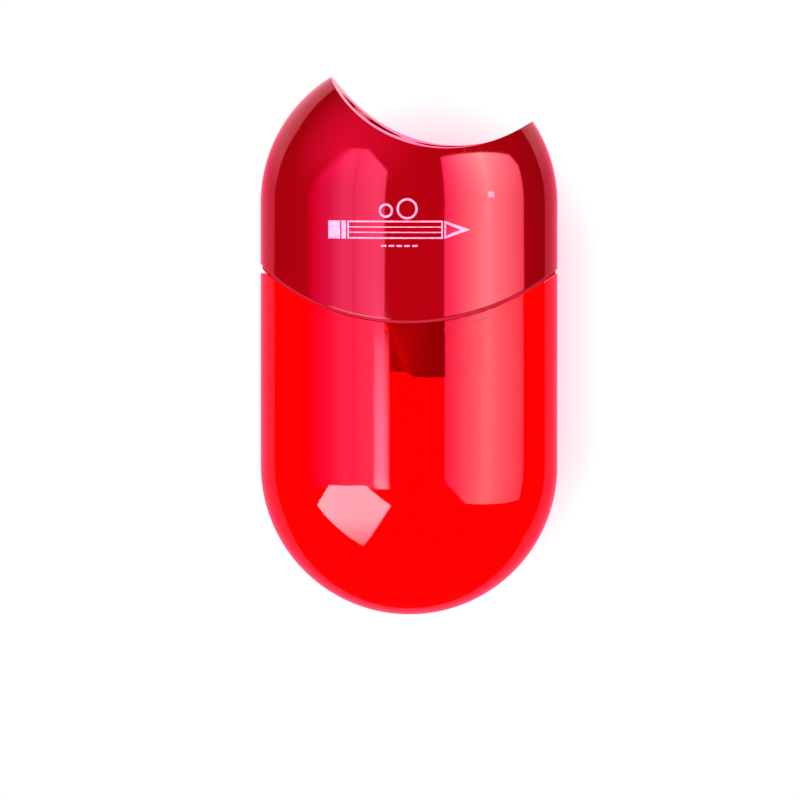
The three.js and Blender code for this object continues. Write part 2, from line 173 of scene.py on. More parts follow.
class Blank:
    """A closed solid that other solids cut, join or trim, as on a bench."""

    def __init__(self, name: str) -> None:
        """Takes the object that a primitive operator has just made.

        Args:
            name: what the piece is called.
        """
        self.piece: bpy.types.Object = bpy.context.object
        self.piece.name = name
        self.piece.data.name = name
        settle(self.piece)

    @classmethod
    def block(cls, low: Sequence[float], high: Sequence[float]) -> "Blank":
        """Makes a block between two corners.

        Args:
            low: its lowest corner.
            high: its highest corner.

        Returns:
            The block.
        """
        select_nothing()
        middle = [(a + b) / 2 for a, b in zip(low, high)]
        size = [b - a for a, b in zip(low, high)]
        bpy.ops.mesh.primitive_cube_add(size=1, location=middle, scale=size)
        return cls("block")

    @classmethod
    def bar(
        cls,
        radius: float,
        start: Vector,
        end: Vector,
        steps: int = 96,
    ) -> "Blank":
        """Makes a round bar between two points.

        Args:
            radius: its radius at the start.
            start: the middle of its first end.
            end: the middle of its last end.
            steps: how many sides it has.

        Returns:
            The bar.
        """
        select_nothing()
        along = end - start
        bpy.ops.mesh.primitive_cone_add(
            vertices=steps,
            radius1=radius,
            radius2=radius,
            depth=along.length,
            location=(start + end) / 2,
            rotation=along.to_track_quat("Z", "Y").to_euler(),
        )
        return cls("bar")

    def change(self, tool: "Blank", how: Cut) -> "Blank":
        """Applies another solid to this one and uses it up.

        Args:
            tool: the other solid.
            how: what it does to this one.

        Returns:
            This blank.
        """
        modifier = self.piece.modifiers.new(how.name.lower(), "BOOLEAN")
        modifier.operation = how.value
        modifier.solver = "MANIFOLD"
        modifier.object = tool.piece
        pick_only(self.piece)
        bpy.ops.object.modifier_apply(modifier=modifier.name)
        spent = tool.piece.data
        bpy.data.objects.remove(tool.piece)
        bpy.data.meshes.remove(spent)
        return self

    def less(self, tool: "Blank") -> "Blank":
        """Takes the tool's space away."""
        return self.change(tool, Cut.TAKE_AWAY)

    def plus(self, tool: "Blank") -> "Blank":
        """Joins the tool to this blank."""
        return self.change(tool, Cut.JOIN)

    def within(self, tool: "Blank") -> "Blank":
        """Keeps only what the two have in common."""
        return self.change(tool, Cut.KEEP_COMMON)

    def placed(self, matrix: Matrix) -> "Blank":
        """Moves the blank by a matrix, into its mesh."""
        self.piece.matrix_world = matrix @ self.piece.matrix_world
        settle(self.piece)
        return self

    def tidy(self, gap: float = 0.004 * MM) -> "Blank":
        """Merges corners that lie closer than a gap.

        Args:
            gap: the gap.

        Returns:
            This blank.
        """
        pick_only(self.piece)
        bpy.ops.object.mode_set(mode="EDIT")
        bpy.ops.mesh.select_all(action="SELECT")
        bpy.ops.mesh.remove_doubles(threshold=gap)
        bpy.ops.object.mode_set(mode="OBJECT")
        return self

    def finished(self, name: str, smooth_below: float = 32.0) -> bpy.types.Object:
        """Shades the piece smooth up to an angle and hands it over.

        Args:
            name: the piece's name.
            smooth_below: faces that meet at less than this many degrees look smooth.

        Returns:
            The finished piece.
        """
        self.tidy()
        bpy.ops.object.shade_smooth_by_angle(angle=math.radians(smooth_below))
        self.piece.name = name
        self.piece.data.name = name
        return self.piece


# ---------------------------------------------------------------- shader sheets


class Signal:
    """A node's output that takes part in ordinary arithmetic."""

    def __init__(self, sheet: "Sheet", socket: bpy.types.NodeSocket) -> None:
        """Wraps a socket.

        Args:
            sheet: the material's node sheet.
            socket: the output that the signal reads.
        """
        self.sheet = sheet
        self.socket = socket

    def combine(self, operation: str, *others: Value) -> "Signal":
        """Adds a Math node that reads this signal first.

        Args:
            operation: the Math node's operation.
            *others: its other inputs.

        Returns:
            The node's output.
        """
        inputs = dict(enumerate((self, *others)))
        return self.sheet.add("ShaderNodeMath", {"operation": operation}, inputs)

    def __add__(self, other: Value) -> "Signal":
        """This plus the other."""
        return self.combine("ADD", other)

    def __radd__(self, other: Value) -> "Signal":
        """The other plus this."""
        return self.combine("ADD", other)

    def __sub__(self, other: Value) -> "Signal":
        """This minus the other."""
        return self.combine("SUBTRACT", other)

    def __rsub__(self, other: Value) -> "Signal":
        """The other minus this."""
        return (self * -1.0).combine("ADD", other)

    def __mul__(self, other: Value) -> "Signal":
        """This times the other."""
        return self.combine("MULTIPLY", other)

    def __rmul__(self, other: Value) -> "Signal":
        """The other times this."""
        return self.combine("MULTIPLY", other)

    def __pow__(self, other: Value) -> "Signal":
        """This to the power of the other."""
        return self.combine("POWER", other)

    def at_least(self, other: Value) -> "Signal":
        """This, or the other where that is greater."""
        return self.combine("MAXIMUM", other)

    def size(self) -> "Signal":
        """This without its sign."""
        return self.combine("ABSOLUTE")

    def clipped(self) -> "Signal":
        """This, held between 0 and 1."""
        return self.sheet.add("ShaderNodeClamp", {}, {"Value": self})


class Sheet:
    """The node sheet of one material."""

    def __init__(self, name: str) -> None:
        """Starts an empty sheet.

        Args:
            name: the material's name.
        """
        self.material = bpy.data.materials.new(name)
        self.material.use_nodes = True
        self.nodes = self.material.node_tree.nodes
        self.links = self.material.node_tree.links
        self.nodes.clear()
        self.place = self.add("ShaderNodeTexCoord", {}, {}, "Object")

    def add(
        self,
        kind: str,
        settings: Mapping[str, Any],
        inputs: Mapping[Union[str, int], Value],
        output: Union[str, int] = 0,
    ) -> Signal:
        """Adds a node.

        Args:
            kind: the node's type.
            settings: its settings; a ramp's stops come as "stops".
            inputs: what its sockets hold or read.
            output: the output to hand back.

        Returns:
            The chosen output.
        """
        node = self.nodes.new(kind)
        for key, value in settings.items():
            if key == "stops":
                self.set_stops(node, value)
            else:
                setattr(node, key, value)
        for key, value in inputs.items():
            if isinstance(value, Signal):
                self.links.new(value.socket, node.inputs[key])
            elif value is not None:
                node.inputs[key].default_value = value
        return Signal(self, node.outputs[output]) if node.outputs else Signal(self, None)

    @staticmethod
    def set_stops(node: bpy.types.Node, stops: Sequence[tuple[float, Colour]]) -> None:
        """Sets a ramp's stops.

        Args:
            node: the ramp.
            stops: each a position and a colour.
        """
        ramp = node.color_ramp
        while len(ramp.elements) < len(stops):
            ramp.elements.new(1.0)
        for element, (position, colour) in zip(ramp.elements, stops):
            element.position = position
            element.color = (*colour, 1)

    def noise(self, scale: float, detail: float = 3.0, stretch: Colour = (1, 1, 1)) -> Signal:
        """Adds soft noise over the piece.

        Args:
            scale: how many waves it has to a metre.
            detail: how many finer layers it has.
            stretch: how much closer the waves are along each axis.

        Returns:
            The noise, about 0.5 on average.
        """
        mapped = self.add("ShaderNodeMapping", {}, {"Vector": self.place, "Scale": stretch})
        inputs = {"Vector": mapped, "Scale": scale, "Detail": detail, "Roughness": 0.55}
        return self.add("ShaderNodeTexNoise", {}, inputs)

    def axis(self, name: str) -> Signal:
        """The place along X, Y or Z, in metres."""
        return self.add("ShaderNodeSeparateXYZ", {}, {0: self.place}, name)

    def ramp(self, source: Value, low: float, high: float) -> Signal:
        """Turns a value between low and high into 0 to 1, held at its ends."""
        settings = {"clamp": True}
        inputs = {"Value": source, "From Min": low, "From Max": high}
        return self.add("ShaderNodeMapRange", settings, inputs)

    def blend(self, amount: Value, first: Value, second: Value) -> Signal:
        """Mixes two colours.

        Args:
            amount: 0 for the first, 1 for the second.
            first: a colour or a colour signal.
            second: a colour or a colour signal.

        Returns:
            The mixed colour.
        """
        opaque = [(*c, 1) if isinstance(c, tuple) else c for c in (first, second)]
        inputs = {0: amount, 6: opaque[0], 7: opaque[1]}
        return self.add("ShaderNodeMix", {"data_type": "RGBA"}, inputs, 2)

    def bump(
        self, height: Value, depth: float, strength: float = 1.0, round_off: float = 0.0
    ) -> Signal:
        """Turns a height into a surface normal.

        Args:
            height: the height, from 0 to 1.
            depth: how deep 1 is, in metres.
            strength: how much of it shows.
            round_off: the radius that sharp edges look rounded by.

        Returns:
            The normal.
        """
        inputs = {"Strength": strength, "Distance": depth, "Height": height}
        if round_off:
            inputs["Normal"] = self.add("ShaderNodeBevel", {"samples": 6}, {"Radius": round_off})
        return self.add("ShaderNodeBump", {}, inputs)

    def surface(self, inputs: Mapping[Union[str, int], Value]) -> bpy.types.Material:
        """Closes the sheet with a principled surface.

        Args:
            inputs: what its sockets hold or read.

        Returns:
            The material.
        """
        return self.close(self.add("ShaderNodeBsdfPrincipled", {}, inputs))

    def close(self, shader: Signal) -> bpy.types.Material:
        """Closes the sheet with a shader and hands the material over."""
        self.add("ShaderNodeOutputMaterial", {}, {"Surface": shader})
        return self.material


@dataclass(frozen=True)
class DeepRedPlastic:
    """Polished opaque plastic, deep red, with faint flow marks and handling scratches, and a dull
    colour on its lip under the seam that is painted shade.
    """

    base: Colour = (0.12, 0.0001, 0.0020)
    dark: Colour = (0.105, 0.0001, 0.0017)
    gloss_tint: Colour = (1.0, 0.33, 0.45)
    gloss: float = 0.70
    roughness: float = 0.045
    wave_depth: float = 0.02 * MM
    edge_round: float = 0.3 * MM
    # Painted shade: the lip's own colour and dull finish stand in for the dark line of shade in the
    # seam's gap.
    lip: Colour = (0.15, 0.0002, 0.007)
    lip_roughness: float = 0.9

    def material(self, seam_centre: Vector, seam_radius: float) -> bpy.types.Material:
        """Makes the material.

        Args:
            seam_centre: the centre of the seam's arc.
            seam_radius: the arc's radius, past which the cap has only its dull lip, coloured as
                painted shade for the seam.

        Returns:
            The material.
        """
        sheet = Sheet("deep_red_plastic")
        x, y = sheet.axis("X") - seam_centre.x, sheet.axis("Y") - seam_centre.y
        # Mask for the lip's painted shade, past the seam's arc.
        lip = sheet.ramp((x * x + y * y) ** 0.5 - seam_radius, 0.0, 0.02 * MM)
        flow = sheet.noise(55, 2.0, (1.0, 0.5, 1.0))
        scratches = sheet.ramp(sheet.noise(900, 2.0, (1.0, 0.06, 1.0)), 0.66, 0.74)
        waves = sheet.noise(120, 1.0)
        return sheet.surface(
            {
                "Base Color": sheet.blend(lip, sheet.blend(flow, self.dark, self.base), self.lip),
                "Roughness": (scratches * 0.06 + self.roughness).at_least(lip * self.lip_roughness),
                "IOR": 1.5,
                "Specular IOR Level": self.gloss,
                "Specular Tint": (*self.gloss_tint, 1),
                "Normal": sheet.bump(waves, self.wave_depth, 0.35, self.edge_round),
            }
        )


@dataclass(frozen=True)
class ClearRedPlastic:
    """Polished see-through plastic, bright red, with flow marks, a faint painted glow all over and
    a stronger painted glow towards its left and right sides.
    """

    base: Colour = (0.99, 0.0006, 0.002)
    dark: Colour = (0.93, 0.0002, 0.001)
    # Painted glow: a faint red emission all over, and a stronger one towards the sides that fades
    # in between two distances from the middle along X; the plastic is no lamp.
    painted_glow: Colour = (0.02, 0.0, 0.0006)
    painted_edge_glow: Colour = (0.5, 0.0, 0.0)
    painted_glow_from: tuple[float, float] = (11 * MM, 16 * MM)
    gloss_tint: Colour = (1.0, 0.33, 0.45)
    gloss: float = 0.7
    roughness: float = 0.03
    wave_depth: float = 0.015 * MM

    def material(self) -> bpy.types.Material:
        """Makes the material."""
        sheet = Sheet("clear_red_plastic")
        flow = sheet.noise(45, 2.0, (1.0, 0.4, 1.0))
        scratches = sheet.ramp(sheet.noise(800, 2.0, (0.08, 1.0, 1.0)), 0.68, 0.76)
        waves = sheet.noise(100, 1.0)
        # Mask for the stronger painted glow towards the sides.
        edge = sheet.ramp(sheet.axis("X").size(), *self.painted_glow_from)
        return sheet.surface(
            {
                "Base Color": sheet.blend(flow, self.dark, self.base),
                "Roughness": scratches * 0.05 + self.roughness,
                "IOR": 1.5,
                "Specular IOR Level": self.gloss,
                "Transmission Weight": 1.0,
                "Specular Tint": (*self.gloss_tint, 1),
                # Painted glow, given as emission.
                "Emission Color": sheet.blend(edge, self.painted_glow, self.painted_edge_glow),
                "Emission Strength": 1.0,
                "Normal": sheet.bump(waves, self.wave_depth, 0.3),
            }
        )


@dataclass(frozen=True)
class CastAlloy:
    """Light alloy, cast and lightly blasted, with darker grain and a few bright rubs, its colours
    painted dark as shade for its place inside the container.
    """

    # Painted shade: base and dark are set much darker than bare alloy, to stand in for the shade
    # inside the container.
    base: Colour = (0.095, 0.095, 0.11)
    dark: Colour = (0.055, 0.055, 0.068)
    roughness: float = 0.42
    grain_depth: float = 0.02 * MM

    def material(self) -> bpy.types.Material:
        """Makes the material."""
        sheet = Sheet("cast_alloy")
        grain = sheet.noise(5200, 3.0)
        cloud = sheet.noise(180, 3.0)
        return sheet.surface(
            {
                "Base Color": sheet.blend(
                    (grain * 0.5 + cloud * 0.5).clipped(), self.dark, self.base
                ),
                "Metallic": 0.9,
                "Roughness": cloud * 0.2 + (self.roughness - 0.1),
                "Normal": sheet.bump(grain, self.grain_depth, 0.6),
            }
        )


@dataclass(frozen=True)
class GroundSteel:
    """Blade steel, ground in fine lines across the blade."""

    base: Colour = (0.60, 0.61, 0.63)
    dark: Colour = (0.38, 0.38, 0.40)
    roughness: float = 0.22
    line_depth: float = 0.006 * MM

    def material(self) -> bpy.types.Material:
        """Makes the material."""
        sheet = Sheet("ground_steel")
        lines = sheet.noise(600, 2.0, (1.0, 30.0, 1.0))
        return sheet.surface(
            {
                "Base Color": sheet.blend(lines, self.dark, self.base),
                "Metallic": 1.0,
                "Roughness": lines * 0.15 + self.roughness,
                "Normal": sheet.bump(lines, self.line_depth, 0.5),
            }
        )


@dataclass(frozen=True)
class PlatedSteel:
    """Small bright plated screws with faint turning marks."""

    base: Colour = (0.68, 0.64, 0.55)
    dark: Colour = (0.45, 0.41, 0.34)
    roughness: float = 0.25

    def material(self) -> bpy.types.Material:
        """Makes the material."""
        sheet = Sheet("plated_steel")
        spots = sheet.noise(1500, 3.0)
        return sheet.surface(
            {
                "Base Color": sheet.blend(spots, self.dark, self.base),
                "Metallic": 1.0,
                "Roughness": spots * 0.2 + (self.roughness - 0.1),
                "Normal": sheet.bump(spots, 0.004 * MM, 0.5),
            }
        )


@dataclass(frozen=True)
class PaleInk:
    """Thin pale print that lets a little of the red through, with a faint painted glow added as
    emission.
    """

    base: Colour = (0.52, 0.20, 0.33)
    dark: Colour = (0.40, 0.11, 0.20)
    # Painted glow: a faint emission that brightens the print, though it is no lamp.
    painted_glow: Colour = (0.10, 0.05, 0.09)
    roughness: float = 0.3

    def material(self) -> bpy.types.Material:
        """Makes the material."""
        sheet = Sheet("pale_ink")
        cover = sheet.ramp(sheet.noise(2600, 3.0), 0.35, 0.6)
        return sheet.surface(
            {
                "Base Color": sheet.blend(cover, self.dark, self.base),
                "Roughness": cover * 0.1 + self.roughness,
                # The print's painted glow, given as emission.
                "Emission Color": (*self.painted_glow, 1),
                "Emission Strength": 1.0,
                "Normal": sheet.bump(cover, 0.004 * MM, 0.4),
            }
        )


@dataclass(frozen=True)
class WhiteCard:
    """Evenly lit white card, tinted by the red light that falls beside the sharpener."""

    seen: Colour = (1.01, 1.01, 1.01)
    tint: Colour = (1.01, 0.745, 0.82)
    lit: Colour = (2.3, 0.30, 0.58)
    pale: Colour = (2.1, 0.88, 1.0)
    pale_from: tuple[float, float] = (26 * MM, 40 * MM)
    tint_middle: tuple[float, float] = (2.2 * MM, -2.0 * MM)
    tint_half_length: float = 10.5 * MM
    tint_inner: float = 17.5 * MM
    tint_outer: float = 23.1 * MM

    def material(self, middle: Vector) -> bpy.types.Material:
        """Makes the material.

        Args:
            middle: the middle of the sharpener's capsule.

        Returns:
            The material.
        """
        sheet = Sheet("white_card")
        x = sheet.axis("X") - (middle.x + self.tint_middle[0])
        y = (sheet.axis("Y") - (middle.y + self.tint_middle[1])).size()
        beyond = (y - self.tint_half_length).at_least(0.0)
        apart = (x * x + beyond * beyond) ** 0.5
        near = sheet.ramp(apart, self.tint_outer, self.tint_inner)
        mottle = sheet.noise(6, 3.0) * 0.02
        colour = sheet.blend((near + mottle).clipped(), self.seen, self.tint)
        seen = sheet.add("ShaderNodeEmission", {}, {"Color": colour})
        past_top = sheet.ramp(sheet.axis("Y") - middle.y, *self.pale_from)
        beside = sheet.blend(past_top, self.lit, self.pale)
        lit = sheet.add("ShaderNodeEmission", {}, {"Color": beside})
        looked_at = sheet.add("ShaderNodeLightPath", {}, {}, "Is Camera Ray")
        shader = sheet.add("ShaderNodeMixShader", {}, {0: looked_at, 1: lit, 2: seen})
        return sheet.close(shader)


def dress(piece: bpy.types.Object, material: bpy.types.Material) -> None:
    """Gives a piece one material all over.

    Args:
        piece: the piece to dress.
        material: its material.
    """
    piece.data.materials.clear()
    piece.data.materials.append(material)


# ---------------------------------------------------------------- the form that all parts share


@dataclass
class Form:
    """The capsule of oval section that cap and container are cut from."""

    half_width: float = 20.0 * MM
    half_depth: float = 12.5 * MM
    dome_spacing: float = 35.4 * MM
    rest_land: float = 0.35 * MM
    wall: float = 1.6 * MM
    seam_radius: float = 32.3 * MM
    seam_offset: float = 0.5 * MM
    seam_height: float = 2.35 * MM
    seam_gap: float = 0.45 * MM
    steps_round: int = 160
    steps_along: int = 80
    steps_seam: int = 320
    beyond: float = 100.0 * MM

    def __post_init__(self) -> None:
        """Finds the middle of the capsule from the container's lowest corner and the top face."""
        low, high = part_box("container_shell")
        end = self.dome_spacing / 2 + self.half_width
        self.middle = Vector((0.0, low.y + end, high.z - self.half_depth))

    def at(self, x: float, y: float, z: float = 0.0) -> Vector:
        """A point given from the middle of the capsule."""
        return self.middle + Vector((x, y, z))

    def capsule(self, inset: float) -> Blank:
        """Makes the capsule, drawn in from its surface by an inset.

        Args:
            inset: how far inside the outer surface it lies.

        Returns:
            The capsule, closed.
        """
        select_nothing()
        width, depth = self.half_width - inset, self.half_depth - inset
        bpy.ops.mesh.primitive_uv_sphere_add(
            segments=self.steps_round,
            ring_count=self.steps_along,
            radius=width,
            rotation=(math.pi / 2, 0, 0),
        )
        piece = bpy.context.object
        settle(piece)
        piece.scale.z = depth / width
        settle(piece)
        bpy.ops.object.mode_set(mode="EDIT")
        select_where(piece, faces=lambda face: face.calc_center_median().y < 0)
        bpy.ops.mesh.delete(type="FACE")
        bpy.ops.mesh.select_all(action="SELECT")
        bpy.ops.transform.translate(value=(0, self.dome_spacing / 2, 0))
        select_where(piece, edges=lambda edge: edge.is_boundary)
        bpy.ops.mesh.extrude_region_move(
            TRANSFORM_OT_translate={"value": (0, -self.dome_spacing / 2, 0)}
        )
        bpy.ops.object.mode_set(mode="OBJECT")
        mirror = piece.modifiers.new("other_end", "MIRROR")
        mirror.use_axis = (False, True, False)
        mirror.merge_threshold = 0.01 * MM
        bpy.ops.object.modifier_apply(modifier=mirror.name)
        bpy.ops.object.mode_set(mode="EDIT")
        bpy.ops.mesh.select_all(action="SELECT")
        bpy.ops.mesh.normals_make_consistent(inside=False)
        bpy.ops.object.mode_set(mode="OBJECT")
        piece.location = self.middle
        return Blank("capsule")

    def oval_bar(self, inset: float, low: float, high: float) -> Blank:
        """Makes an oval bar along Y.

        Args:
            inset: how far inside the outer surface it lies.
            low: where it starts, from the middle.
            high: where it ends.

        Returns:
            The bar.
        """
        width, depth = self.half_width - inset, self.half_depth - inset
        bar = Blank.bar(width, self.at(0, low), self.at(0, high), self.steps_round)
        flat = Matrix.Scale(depth / width, 4, Vector((0, 0, 1)))
        there = Matrix.Translation(self.middle)
        return bar.placed(there @ flat @ there.inverted())

    def through_bar(self, radius: float, x: float, y: float) -> Blank:
        """Makes a round bar right through the body along Z."""
        deep = 4 * self.half_depth
        return Blank.bar(radius, self.at(x, y, -deep), self.at(x, y, deep), self.steps_seam)

    def above_seam(self, drop: float) -> Blank:
        """Makes the round bar whose lower edge is the seam, lowered by a drop."""
        radius = self.seam_radius + drop
        return self.through_bar(
            radius, self.seam_offset, self.seam_height + self.seam_radius
        )

    def behind_rest_land(self) -> Blank:
        """Makes what is shaved off the back so that the sharpener lies still."""
        wide = 3 * self.half_width
        land = self.rest_land - self.half_depth
        return Blank.block(self.at(-wide, -wide, -wide), self.at(wide, wide, land))


@dataclass(frozen=True)
class PencilHole:
    """One pencil hole and the bore under it."""

    x: float
    radius: float


STANDARD = PencilHole(x=-5.0 * MM, radius=4.1 * MM)
JUMBO = PencilHole(x=5.8 * MM, radius=5.2 * MM)


@dataclass
class CapShell:
    """The deep red cap, with its saddle, pencil holes, guide tubes and ribs."""

    form: Form
    finish: DeepRedPlastic = DeepRedPlastic()
    saddle_radius: float = 18.8 * MM
    saddle_drop: float = 12.4 * MM
    saddle_floor: float = 1.6 * MM
    guide_wall: float = 1.1 * MM
    guide_length: float = 2.0 * MM
    rib_half: float = 0.7 * MM
    rib_spacing: float = 15.0 * MM
    rib_low: float = 12.5 * MM
    block_half_width: float = 12.7 * MM
    block_middle: float = -0.3 * MM
    block_reach: float = 6.8 * MM
    lip_inset: float = 0.25 * MM
    lip_drop: float = 0.42 * MM

    @property
    def saddle_low(self) -> float:
        """The saddle's lowest line, from the middle of the capsule."""
        return self.form.dome_spacing / 2 + self.form.half_width - self.saddle_drop

    def saddle_bar(self, grow: float) -> Blank:
        """Makes the bar that hollows the saddle, grown by the saddle's floor where asked."""
        centre = self.saddle_low + self.saddle_radius
        return self.form.through_bar(self.saddle_radius + grow, JUMBO.x, centre)

    def lip(self) -> Blank:
        """Makes the lip that is set back inside the seam, under the cap's edge.

        Returns:
            The lip.
        """
        form = self.form
        ring = form.oval_bar(self.lip_inset, -form.dome_spacing / 2, self.rib_low)
        ring.less(form.oval_bar(form.wall, -form.dome_spacing, form.half_width))
        return ring.within(form.above_seam(self.lip_drop)).less(form.above_seam(-self.lip_drop))

    def guides_and_ribs(self) -> Blank:
        """Makes what holds the sharpener body, before it is trimmed to the shell.

        Returns:
            The guide tubes and ribs, joined.
        """
        form = self.form
        wide = 3 * form.half_width
        top = form.dome_spacing / 2 + form.half_width
        inside = Blank.block(
            form.at(-wide, self.rib_low, -self.rib_half), form.at(wide, top, self.rib_half)
        )
        for side in Side:
            x = side.value * self.rib_spacing / 2
            inside.plus(
                Blank.block(
                    form.at(x - self.rib_half, self.rib_low, -wide),
                    form.at(x + self.rib_half, top, wide),
                )
            )
        guide_end = self.saddle_low - self.saddle_floor - self.guide_length
        inside.less(
            Blank.block(
                form.at(self.block_middle - self.block_half_width, 0, -self.block_reach),
                form.at(
                    self.block_middle + self.block_half_width, guide_end, self.block_reach
                ),
            )
        )
        for hole in (STANDARD, JUMBO):
            guide = form.at(hole.x, guide_end), form.at(hole.x, top)
            inside.plus(Blank.bar(hole.radius + self.guide_wall, *guide))
        return inside

    def build(self) -> bpy.types.Object:
        """Models the cap.

        Returns:
            The finished cap.
        """
        form = self.form
        cavity = form.capsule(form.wall).less(self.saddle_bar(self.saddle_floor))
        shell = form.capsule(0.0).within(form.above_seam(0.0)).less(cavity).plus(self.lip())
        shell.plus(self.guides_and_ribs().within(form.capsule(form.wall / 2)))
        shell.less(self.saddle_bar(0.0)).less(form.behind_rest_land())
        for hole in (STANDARD, JUMBO):
            ends = form.at(hole.x, 0), form.at(hole.x, form.beyond)
            shell.less(Blank.bar(hole.radius, *ends))
        shell.tidy(0.03 * MM)
        return shell.finished("cap")

    def make(self) -> bpy.types.Object:
        """Models and dresses the cap.

        Returns:
            The cap, in place on its body.
        """
        piece = self.build()
        seam = self.form.at(self.form.seam_offset, self.form.seam_height + self.form.seam_radius)
        dress(piece, self.finish.material(seam, self.form.seam_radius))
        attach(piece, "cap")
        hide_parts("cap_shell")
        return piece


@dataclass
class ContainerShell:
    """The see-through shavings container, with the neck that slides up inside the cap."""

    form: Form
    finish: ClearRedPlastic = ClearRedPlastic()
    corner_height: float = 8.26 * MM
    neck_clearance: float = 0.25 * MM
    neck_wall: float = 1.1 * MM
    neck_top: float = 11.5 * MM
    neck_root: float = 1.0 * MM
    bead_proud: float = 0.15 * MM
    bead_half_height: float = 0.6 * MM
    bead_below_top: float = 1.9 * MM
    bead_half_length: float = 4.5 * MM

    def neck(self) -> Blank:
        """Makes the neck with its two click beads, as a tube that is still too long.

        Returns:
            The neck.
        """
        form = self.form
        outside = form.wall + self.neck_clearance
        tube = form.oval_bar(outside, -form.dome_spacing / 2, self.neck_top)
        height = self.neck_top - self.bead_below_top
        wide = 3 * form.half_width
        bead = form.oval_bar(
            outside - self.bead_proud,
            height - self.bead_half_height,
            height + self.bead_half_height,
        ).within(
            Blank.block(
                form.at(-self.bead_half_length, -wide, -wide),
                form.at(self.bead_half_length, wide, wide),
            )
        )
        return tube.plus(bead)

    def hollow(self) -> Blank:
        """Makes the space inside the neck."""
        form = self.form
        inset = form.wall + self.neck_clearance + self.neck_wall
        return form.oval_bar(inset, -form.dome_spacing / 2, form.half_width)

    def build(self) -> bpy.types.Object:
        """Models the container.

        Returns:
            The finished container.
        """
        form = self.form
        wide = 3 * form.half_width
        root = form.seam_gap + self.neck_root
        cup = form.capsule(0.0).less(form.above_seam(form.seam_gap))
        cup.less(
            Blank.block(
                form.at(-wide, self.corner_height, -wide), form.at(wide, wide, wide)
            )
        )
        cup.less(form.capsule(form.wall).less(form.above_seam(root)))
        cup.less(self.hollow())
        cup.plus(self.neck().within(form.above_seam(root)).less(self.hollow()))
        cup.less(form.behind_rest_land())
        cup.tidy(0.03 * MM)
        return cup.finished("container")

    def make(self) -> bpy.types.Object:
        """Models and dresses the container.

        Returns:
            The container, in place on its body.
        """
        piece = self.build()
        dress(piece, self.finish.material())
        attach(piece, "container")
        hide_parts("container_shell")
        return piece


@dataclass
class CapPrint:
    """The pale print on the front of the cap: two rings, a pencil and a row of dashes."""

    form: Form
    finish: PaleInk = PaleInk()
    proud: float = 0.012 * MM
    sunk: float = 0.03 * MM
    line: float = 0.2 * MM
    rings: tuple[tuple[float, float, float], ...] = ((-2.3, 17.0, 0.95), (0.55, 17.25, 1.4))
    pencil: tuple[float, float, float] = (-10.1, 8.9, 14.45)
    pencil_half: float = 1.2
    tip_length: float = 3.6
    lead_length: float = 1.3
    ring_line: float = 1.4
    ferrule: tuple[float, float] = (-8.3, -7.5)
    dashes: tuple[float, ...] = (-2.6, -1.55, -0.5, 0.55, 1.6)
    dash_size: tuple[float, float] = (0.72, 0.22)
    dash_height: float = 12.3

    def plate(self, low: tuple[float, float], high: tuple[float, float]) -> Blank:
        """Makes a block through the cap's front.

        Args:
            low: its lowest corner across the cap, in millimetres.
            high: its highest corner.

        Returns:
            The block.
        """
        front = 2 * self.form.half_depth
        return Blank.block(
            self.form.at(low[0] * MM, low[1] * MM),
            self.form.at(high[0] * MM, high[1] * MM, front),
        )

    def disc(self, x: float, y: float, radius: float) -> Blank:
        """Makes a round bar through the cap's front, given in millimetres."""
        ends = (self.form.at(x * MM, y * MM, deep * self.form.half_depth) for deep in (0, 2))
        return Blank.bar(radius * MM, *ends, steps=48)

    def tip(self, base: float, end: float, half: float) -> Blank:
        """Makes a triangle through the cap's front that points towards +X.

        Args:
            base: where it starts across the cap, in millimetres.
            end: where its point is.
            half: half its width at the base.

        Returns:
            The triangle.
        """
        y = self.pencil[2]
        radius = (end - base) / 1.5
        centre = self.form.at((base + radius / 2) * MM, y * MM)
        deep = Vector((0, 0, 2 * self.form.half_depth))
        bar = Blank.bar(radius * MM, centre, centre + deep, 3)
        squeeze = half / (radius * math.sqrt(3) / 2)
        there = Matrix.Translation(centre)
        turn = Matrix.Rotation(math.pi / 2, 4, "Z")
        narrow = Matrix.Scale(squeeze, 4, Vector((0, 1, 0)))
        return bar.placed(there @ narrow @ turn @ there.inverted())

    def outline(self) -> list[Blank]:
        """Makes every printed shape as a bar that goes right through the cap's front.

        Returns:
            The shapes, not yet joined.
        """
        left, right, y = self.pencil
        half, line = self.pencil_half, self.line / MM
        shoulder = right - self.tip_length
        barrel = self.plate((self.ferrule[1], y - half), (shoulder, y + half))
        room = (2 * half - 2 * line - 2 * line / 1.5) / 3
        inner_left, inner_right = self.ferrule[1] + line, shoulder - line
        for low in (y - half + line, y - room / 2, y + half - line - room):
            barrel.less(self.plate((inner_left, low), (inner_right, low + room)))
        lead = self.tip(shoulder + 2 * line, right - self.lead_length, half - 1.9 * line)
        wood = self.tip(shoulder + line, right, half).less(lead)
        eraser = self.plate((left, y - half), (self.ferrule[0] - line, y + half))
        band = self.plate((self.ferrule[0], y - half), (self.ferrule[1] - line, y + half))
        rings = [
            self.disc(x, height, radius).less(self.disc(x, height, radius - self.ring_line * line))
            for x, height, radius in self.rings
        ]
        wide, tall = self.dash_size
        low = self.dash_height - tall / 2
        dashes = [self.plate((x - wide / 2, low), (x + wide / 2, low + tall)) for x in self.dashes]
        return [barrel, wood, eraser, band, *rings, *dashes]

    def make(self) -> bpy.types.Object:
        """Models and dresses the print.

        Returns:
            The print, in place on the cap.
        """
        _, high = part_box("cap_shell")
        wide = 2 * self.form.half_width
        film = self.form.capsule(-self.proud).less(self.form.capsule(self.sunk))
        top = high.z - self.form.middle.z
        film.within(Blank.block(self.form.at(-wide, 0), self.form.at(wide, wide, top)))
        shapes = self.outline()
        bars = shapes[0]
        for other in shapes[1:]:
            bars.plus(other)
        film.within(bars)
        piece = film.finished("cap_print")
        dress(piece, self.finish.material())
        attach(piece, "cap")
        return piece


